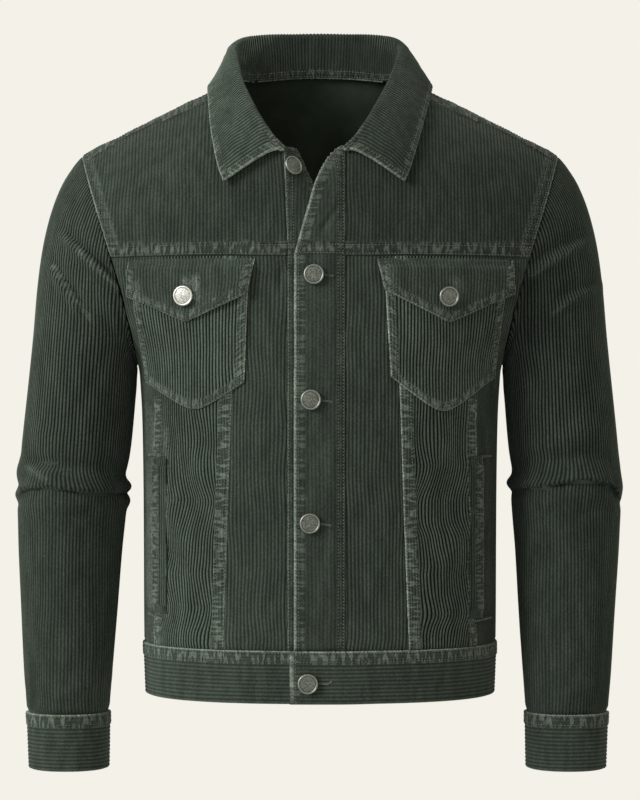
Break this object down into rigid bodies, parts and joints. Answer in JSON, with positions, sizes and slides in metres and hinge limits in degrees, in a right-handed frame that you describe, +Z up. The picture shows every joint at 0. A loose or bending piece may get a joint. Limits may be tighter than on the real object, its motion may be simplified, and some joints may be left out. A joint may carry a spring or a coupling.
{
  "type": "corduroy jacket",
  "caption": "Dark green corduroy trucker-style jacket, filled out as worn: pointed collar, buttoned placket, flap chest pockets, waistband and cuffs.",
  "frame": {"origin": "between the wearer's shoulders, in the middle of the neck opening at the height of the base of the neck, where the wearer holds the jacket up", "axes": "+Z up along the back, +X towards the wearer's left, the wearer faces -Y"},
  "size_m": [0.6047, 0.2602, 0.7395],
  "materials": {
    "corduroy": "matte ribbed cotton corduroy, dark green, worn paler along the wales and seams",
    "button_metal": "antique silver, pebbled face"
  },
  "bodies": {
    "root": {"yoke_front_right": "corduroy", "yoke_front_left": "corduroy", "front_right": "corduroy", "front_left": "corduroy", "side_front_right": "corduroy", "side_front_left": "corduroy", "back_yoke": "corduroy", "back_panel": "corduroy", "placket_left": "corduroy", "button_band_right": "corduroy", "waistband": "corduroy", "collar": "corduroy", "button_neck": "button_metal", "button_front_1": "button_metal", "button_front_2": "button_metal", "button_front_3": "button_metal", "button_waistband": "button_metal", "pocket_right": "corduroy", "flap_right": "corduroy", "welt_right": "corduroy", "sleeve_right": "corduroy", "cuff_right": "corduroy", "button_flap_right": "button_metal", "button_cuff_right": "button_metal", "pocket_left": "corduroy", "flap_left": "corduroy", "welt_left": "corduroy", "sleeve_left": "corduroy", "cuff_left": "corduroy", "button_flap_left": "button_metal", "button_cuff_left": "button_metal"}
  },
  "joints": []
}
